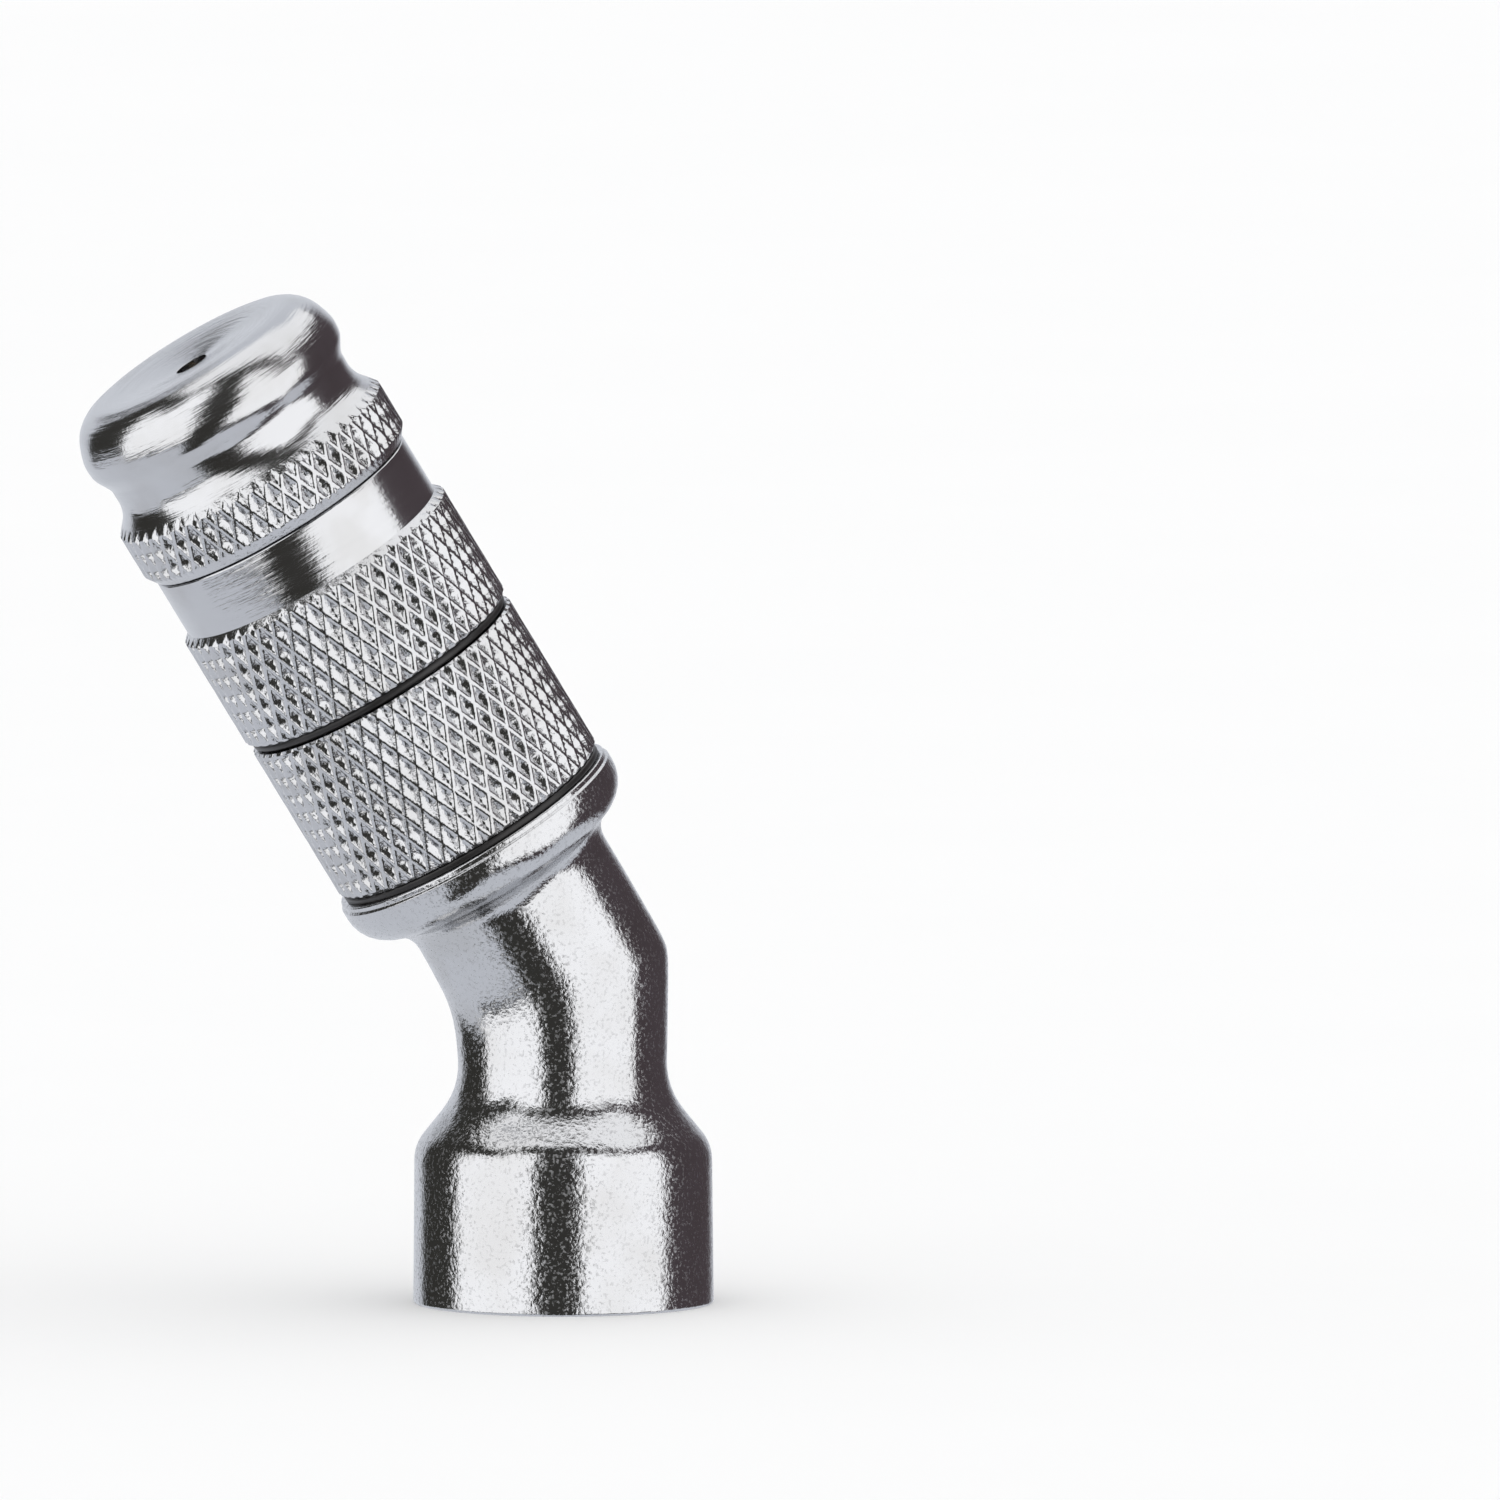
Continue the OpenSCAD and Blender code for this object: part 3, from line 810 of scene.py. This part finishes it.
def flow_drills(count, circle_r, hole_r, start, end):
    """Cylinders that cut the flow holes through the barrel's web."""
    bm = bmesh.new()
    for step in range(count):
        turn = TURN * step / count
        place = Matrix.Translation((circle_r * math.cos(turn), circle_r * math.sin(turn), (start + end) / 2))
        bmesh.ops.create_cone(bm, cap_ends=True, segments=24, radius1=hole_r, radius2=hole_r,
                              depth=end - start, matrix=place)
    return mesh_of(bm, "drills", in_head_space=False)


class SPRAYHEAD_OT_barrel(bpy.types.Operator):
    """Make the spray barrel: threaded tail, knurl, smooth band, web and extension"""

    bl_idname = "sprayhead.barrel"
    bl_label = "Spray Barrel"

    def execute(self, context):
        settings = context.scene.spray_head
        knurl, slices = settings.knurl, settings.threads.slices
        knurled, bright = finished("knurled_plating"), finished("turned_plating")
        tail, end, radius = head_span("spray_barrel")
        shoulder, knurl_end, band_end = mm(21.4), mm(28.7), mm(32.25)
        seat, web_start, web_end, thread_end = mm(24.7), mm(25.5), mm(27.3), mm(35.6)
        band_r, core_r = mm(8.27), radius - knurl.depth - UNDER_PITS - mm(0.2)
        bore_r, seat_r, stem_r, chamber_r = mm(5.05), mm(4.3), mm(1.22), mm(4.6)
        tail_r, tip_thread_r, extension_r = mm(6.4), mm(5.5), mm(5.96)
        core_end = knurl_end - mm(0.2)
        outline = rounded([
            (bore_r, tail, mm(0.1)), (mm(6.2), tail), (mm(6.45), tail + mm(0.3)),
            (tail_r, shoulder - mm(0.6)), (tail_r, shoulder), (core_r, shoulder),
            (core_r, core_end), (band_r, core_end), (band_r, band_end, mm(0.12)),
            (tip_thread_r, band_end), (tip_thread_r, thread_end),
            (extension_r, thread_end + mm(0.2), mm(0.1)), (extension_r, end, mm(0.25)),
            (chamber_r, end, mm(0.1)), (chamber_r, web_end), (stem_r, web_end),
            (stem_r, web_start), (seat_r, web_start), (seat_r, seat), (bore_r, seat)])
        drills = flow_drills(6, mm(3.0), mm(0.7), web_start - mm(0.3), web_end + mm(0.3))
        core = drilled(turned(outline, 128, in_head_space=False), drills)
        core.transform(HEAD_SPACE)
        band = knurl_band(knurl, knurled, radius, shoulder, knurl_end, core_r - LAP,
                          (mm(0.14), mm(0.16)), (mm(0.42), radius - band_r + mm(0.01)))
        pitch = settings.threads.screw_pitch
        tail_thread = thread_mesh(slices, bright, tail_r + mm(0.02), mm(6.92), pitch,
                                  tail + mm(0.1), shoulder - mm(0.75))
        tip_thread = thread_mesh(slices, bright, tip_thread_r, mm(5.97), pitch,
                                 band_end + mm(0.3), thread_end)
        put("spray_barrel_body",
            [(core, bright), (band, knurled), (tail_thread, bright), (tip_thread, bright)],
            "barrel", ["spray_barrel"])
        return {"FINISHED"}


class SPRAYHEAD_OT_tip(bpy.types.Operator):
    """Make the spray tip: knurl, neck, rim and dished face with the orifice"""

    bl_idname = "sprayhead.tip"
    bl_label = "Spray Tip"

    def execute(self, context):
        settings = context.scene.spray_head
        knurl = settings.knurl
        knurled, bright = finished("knurled_plating"), finished("turned_plating")
        start, crest_t, radius = head_span("spray_tip")
        knurl_end, band_end = mm(35.6), mm(36.1)
        cone_r, cone_end = mm(8.05), mm(36.45)
        core_r, neck_r, neck_t = mm(7.9), mm(7.74), mm(37.5)
        rim_r, flare_start, flare_end = mm(8.35), mm(38.1), mm(39.7)
        neck = [(core_r, start), (core_r, band_end - mm(0.1)), (cone_r + mm(0.3), band_end - mm(0.04))]
        for step in range(9):
            part = 1 - step / 8
            neck.append((neck_r + (cone_r - neck_r) * part ** 2, neck_t - (neck_t - cone_end) * part))
        for step in range(1, 13):
            part = step / 12
            eased = (1 - math.cos(math.pi * part)) / 2
            neck.append((neck_r + (rim_r - neck_r) * eased, flare_start + (flare_end - flare_start) * part))
        crown = [(mm(crown_r), mm(crown_t)) for crown_r, crown_t in (
            (8.37, 39.95), (8.365, 40.25), (8.33, 40.45), (8.28, 40.65), (8.2, 40.92), (8.06, 41.3),
            (7.92, 41.6), (7.73, 41.9), (7.5, 42.16), (7.21, 42.4), (6.86, 42.6), (6.42, 42.72))]
        dish = [(mm(dish_r), crest_t - mm(drop)) for dish_r, drop in (
            (5.9, 0.0), (5.3, 0.02), (4.4, 0.08), (3.4, 0.17), (2.5, 0.28), (1.7, 0.4), (1.02, 0.51))]
        orifice_r, disc_r, bore_r, groove_r, thread_r = mm(1.0), mm(4.52), mm(6.06), mm(6.9), mm(6.55)
        disc_end, seat, groove_start, groove_end = mm(41.1), mm(39.5), mm(35.9), mm(36.9)
        inside = [
            (orifice_r, crest_t - mm(0.53)), (orifice_r, disc_end + mm(0.3)), (mm(1.15), disc_end),
            (disc_r, disc_end), (disc_r, seat), (bore_r, seat), (bore_r, groove_end),
            (groove_r, groove_end), (groove_r, groove_start), (bore_r, groove_start),
            (bore_r, knurl_end), (thread_r, mm(35.5)), (thread_r, start + mm(0.1)), (mm(6.7), start)]
        core = turned(neck + crown + dish + inside, 160)
        band = knurl_band(knurl, knurled, radius, start, band_end, core_r - LAP,
                          (mm(0.65), mm(0.46)), (band_end - knurl_end, radius - cone_r - mm(0.28)))
        thread = thread_mesh(settings.threads.slices, bright, thread_r, mm(6.08),
                             settings.threads.screw_pitch, start + mm(0.3), mm(35.4))
        put("spray_tip_body", [(core, bright), (band, knurled), (thread, bright)],
            "tip", ["spray_tip"])
        return {"FINISHED"}


# --------------------------------------------------------------------------- rings and inner pieces


class SPRAYHEAD_OT_rings(bpy.types.Operator):
    """Make the two rings that show between the turned pieces"""

    bl_idname = "sprayhead.rings"
    bl_label = "Visible Rings"

    def execute(self, context):
        black = finished("black_rubber")
        shapes = (
            ("collar_seal", "collar_washer", "elbow", mm(5.02), mm(0.12)),
            ("gap_ring", "dust_ring", "barrel", mm(6.42), mm(0.22)),
        )
        for name, node, body, inner_r, edge in shapes:
            start, end, radius = head_span(node)
            outline = rounded([
                (inner_r, start), (radius, start, edge), (radius, end, edge), (inner_r, end)], 6)
            put(name, [(turned(outline, 144), black)], body, [node], 40.0)
        return {"FINISHED"}


class SPRAYHEAD_OT_inside(bpy.types.Operator):
    """Give the inner pieces, whose CAD shapes stay, their finishes"""

    bl_idname = "sprayhead.inside"
    bl_label = "Inner Pieces"

    def execute(self, context):
        slots = {row["node"]: row["material_slot"] for row in frame["record"]["subparts"]}
        sharp_degrees = 30.0
        for name, piece in frame["nodes"].items():
            if piece.hide_render:
                continue
            piece.data.materials.clear()
            piece.data.materials.append(finished(slots[name]))
            piece.data.shade_smooth()
            piece.data.set_sharp_from_angle(angle=math.radians(sharp_degrees))
        return {"FINISHED"}


# --------------------------------------------------------------------------- stage


def toward_camera(stage):
    """Unit vectors: towards the camera, to its right, and up in its picture."""
    flat = Vector((math.sin(stage.azimuth), -math.cos(stage.azimuth), 0.0))
    out = flat * math.cos(stage.elevation) + Vector((0, 0, math.sin(stage.elevation)))
    right = Vector((math.cos(stage.azimuth), math.sin(stage.azimuth), 0.0))
    return out, right, out.cross(right)


def direction_part(tree, direction, axis):
    """How far a direction points along an axis."""
    made = add(tree, "ShaderNodeVectorMath", {0: direction, 1: axis}, operation="DOT_PRODUCT")
    return made.outputs["Value"]


def left_out(tree, value):
    """1 where the value is 0, and 0 where it is 1."""
    return calc(tree, "SUBTRACT", 1.0, value)


def between(tree, value, low, high, soft):
    """1 between two limits and 0 outside them, with soft edges."""
    rise = ramp(tree, value, low - soft, low + soft)
    fall = ramp(tree, value, high - soft, high + soft)
    return calc(tree, "MULTIPLY", rise, left_out(tree, fall))


def front_boxes(tree, azimuth, height):
    """1 where one of the two soft boxes beside the camera shows."""
    soft = 1.5
    right_top = left_out(tree, calc(
        tree, "MULTIPLY", ramp(tree, azimuth, *LOWERED_RIGHT), ramp(tree, height, *LOWERED_RIGHT_TOP)))
    right_box = calc(tree, "MULTIPLY", between(tree, azimuth, *RIGHT_BOX, soft), right_top)
    left_top = left_out(tree, calc(
        tree, "MULTIPLY", left_out(tree, ramp(tree, azimuth, *LOWERED_LEFT)),
        ramp(tree, height, *LOWERED_LEFT_TOP)))
    left_box = calc(tree, "MULTIPLY", between(tree, azimuth, *LEFT_BOX, soft), left_top)
    either = calc(tree, "MAXIMUM", right_box, left_box)
    return calc(tree, "MULTIPLY", either, between(tree, height, *BOX_HEIGHTS, soft))


def overhead_box(tree, across, ahead, up):
    """1 where the two-part soft box above the head shows."""
    level = calc(tree, "MAXIMUM", up, 0.05)
    top_x = calc(tree, "DIVIDE", across, level)
    top_y = calc(tree, "DIVIDE", ahead, level)
    parts = []
    for (sides, ends), end_soft in ((TOP_NEAR, 0.02), (TOP_FAR, 0.04)):
        parts.append(calc(tree, "MULTIPLY", between(tree, top_x, *sides, 0.04),
                          between(tree, top_y, *ends, end_soft)))
    return calc(tree, "MULTIPLY", calc(tree, "MAXIMUM", *parts), ramp(tree, up, 0.2, 0.3))


def pale_paper(tree, azimuth, height):
    """1 where the paper below and behind the head shows."""
    soft = 3.0
    dips = [calc(tree, "MULTIPLY", between(tree, azimuth, *side, soft), dip)
            for side, dip in ((FRONT, FRONT_DIP), (GAP, GAP_DIP), (RIGHT_SIDE, RIGHT_DIP))]
    dip = calc(tree, "ADD", dips[0], calc(tree, "ADD", dips[1], dips[2]))
    edge = calc(tree, "SUBTRACT", PAPER_EDGE, dip)
    below = left_out(tree, ramp(tree, calc(tree, "SUBTRACT", height, edge), -1.5, 1.5))
    behind_left = left_out(tree, ramp(tree, azimuth, *BEHIND_LEFT))
    sides = calc(tree, "MAXIMUM", behind_left, ramp(tree, azimuth, *BEHIND_RIGHT))
    behind = calc(tree, "MULTIPLY", sides, between(tree, height, *BEHIND_HEIGHTS, soft))
    shade = calc(tree, "MULTIPLY", between(tree, azimuth, *SHADE, soft),
                 between(tree, height, *SHADE_HEIGHTS, soft))
    return calc(tree, "MAXIMUM", below, calc(tree, "MULTIPLY", behind, left_out(tree, shade)))


def studio_world(stage):
    """The studio that the plating reflects, painted on the world; all other rays see even white."""
    world = bpy.data.worlds.new("studio")
    world.use_nodes = True
    tree = world.node_tree
    tree.nodes.clear()
    direction = add(tree, "ShaderNodeTexCoord").outputs["Generated"]
    right = toward_camera(stage)[1]
    front = right.cross(Vector((0, 0, 1)))
    across = direction_part(tree, direction, right)
    ahead = direction_part(tree, direction, front)
    up = direction_part(tree, direction, (0.0, 0.0, 1.0))
    degree = 180 / math.pi
    azimuth = calc(tree, "MULTIPLY", calc(tree, "ARCTAN2", across, ahead), degree)
    height = calc(tree, "MULTIPLY", calc(tree, "ARCSINE", up), degree)
    room = blend_colours(tree, ramp(tree, azimuth, -10.0, 95.0), rgba(stage.dark), rgba(stage.dark_side))
    papered = blend_colours(tree, pale_paper(tree, azimuth, height), room, rgba(stage.paper))
    box_colour = tuple(stage.box_light * part for part in (1.0, 1.0, 1.005))
    top_colour = tuple(TOP_LIGHT * part for part in box_colour)
    topped = blend_colours(tree, overhead_box(tree, across, ahead, up), papered, rgba(top_colour))
    lit = blend_colours(tree, front_boxes(tree, azimuth, height), topped, rgba(box_colour))
    rays = add(tree, "ShaderNodeLightPath").outputs
    even = calc(tree, "MAXIMUM", rays["Is Camera Ray"], rays["Is Diffuse Ray"])
    seen = blend_colours(tree, even, lit, rgba((EVEN_WHITE,) * 3))
    background = add(tree, "ShaderNodeBackground", {"Color": seen})
    output = add(tree, "ShaderNodeOutputWorld")
    tree.links.new(background.outputs[0], output.inputs["Surface"])
    return world


class SPRAYHEAD_OT_stage(bpy.types.Operator):
    """Set the camera, the studio light and the floor"""

    bl_idname = "sprayhead.stage"
    bl_label = "Stage"

    def execute(self, context):
        scene = context.scene
        stage = scene.spray_head.stage
        scene.view_settings.view_transform = "Standard"
        scene.world = studio_world(stage)
        out, right, up = toward_camera(stage)
        camera_data = bpy.data.cameras.new("camera")
        camera_data.lens = stage.lens
        camera_data.clip_start = mm(10.0)
        camera_data.clip_end = 100.0
        distance = stage.view_width / camera_data.sensor_width * stage.lens
        target = right * stage.look_right + up * stage.look_up
        camera = new_object("camera", camera_data)
        camera.matrix_world = Matrix.Translation(target + out * distance) @ Matrix(
            (right, up, out)).transposed().to_4x4()
        scene.camera = camera
        bm = bmesh.new()
        bmesh.ops.create_grid(bm, x_segments=1, y_segments=1, size=FLOOR_REACH)
        floor_mesh = mesh_of(bm, "floor", in_head_space=False)
        floor_mesh.materials.append(pale_floor(stage))
        floor = new_object("floor", floor_mesh)
        floor.visible_glossy = False
        return {"FINISHED"}


# --------------------------------------------------------------------------- panel and run


OPERATORS = (
    SPRAYHEAD_OT_stage, SPRAYHEAD_OT_elbow, SPRAYHEAD_OT_nut, SPRAYHEAD_OT_barrel,
    SPRAYHEAD_OT_tip, SPRAYHEAD_OT_rings, SPRAYHEAD_OT_inside,
)


class SPRAYHEAD_PT_panel(bpy.types.Panel):
    """Buttons and settings for the spray head"""

    bl_idname = "SPRAYHEAD_PT_panel"
    bl_label = "Spray Head"
    bl_space_type = "VIEW_3D"
    bl_region_type = "UI"
    bl_category = "Spray Head"

    def draw(self, context):
        layout = self.layout
        settings = context.scene.spray_head
        for group in ("forging", "knurl", "threads", "finish", "stage"):
            box = layout.box()
            box.label(text=group.capitalize())
            chosen = getattr(settings, group)
            for name in chosen.__annotations__:
                box.prop(chosen, name)
        for operator in OPERATORS:
            layout.operator(operator.bl_idname)


CLASSES = (
    SprayHeadForging, SprayHeadKnurl, SprayHeadThreads, SprayHeadFinish, SprayHeadStage,
    SprayHeadSettings, *OPERATORS, SPRAYHEAD_PT_panel,
)


def register():
    for made in CLASSES:
        bpy.utils.register_class(made)
    bpy.types.Scene.spray_head = bpy.props.PointerProperty(type=SprayHeadSettings)


def unregister():
    del bpy.types.Scene.spray_head
    for made in reversed(CLASSES):
        bpy.utils.unregister_class(made)


def main():
    register()
    for operator in OPERATORS:
        category, name = operator.bl_idname.split(".")
        getattr(getattr(bpy.ops, category), name)()


if __name__ == "__main__":
    main()
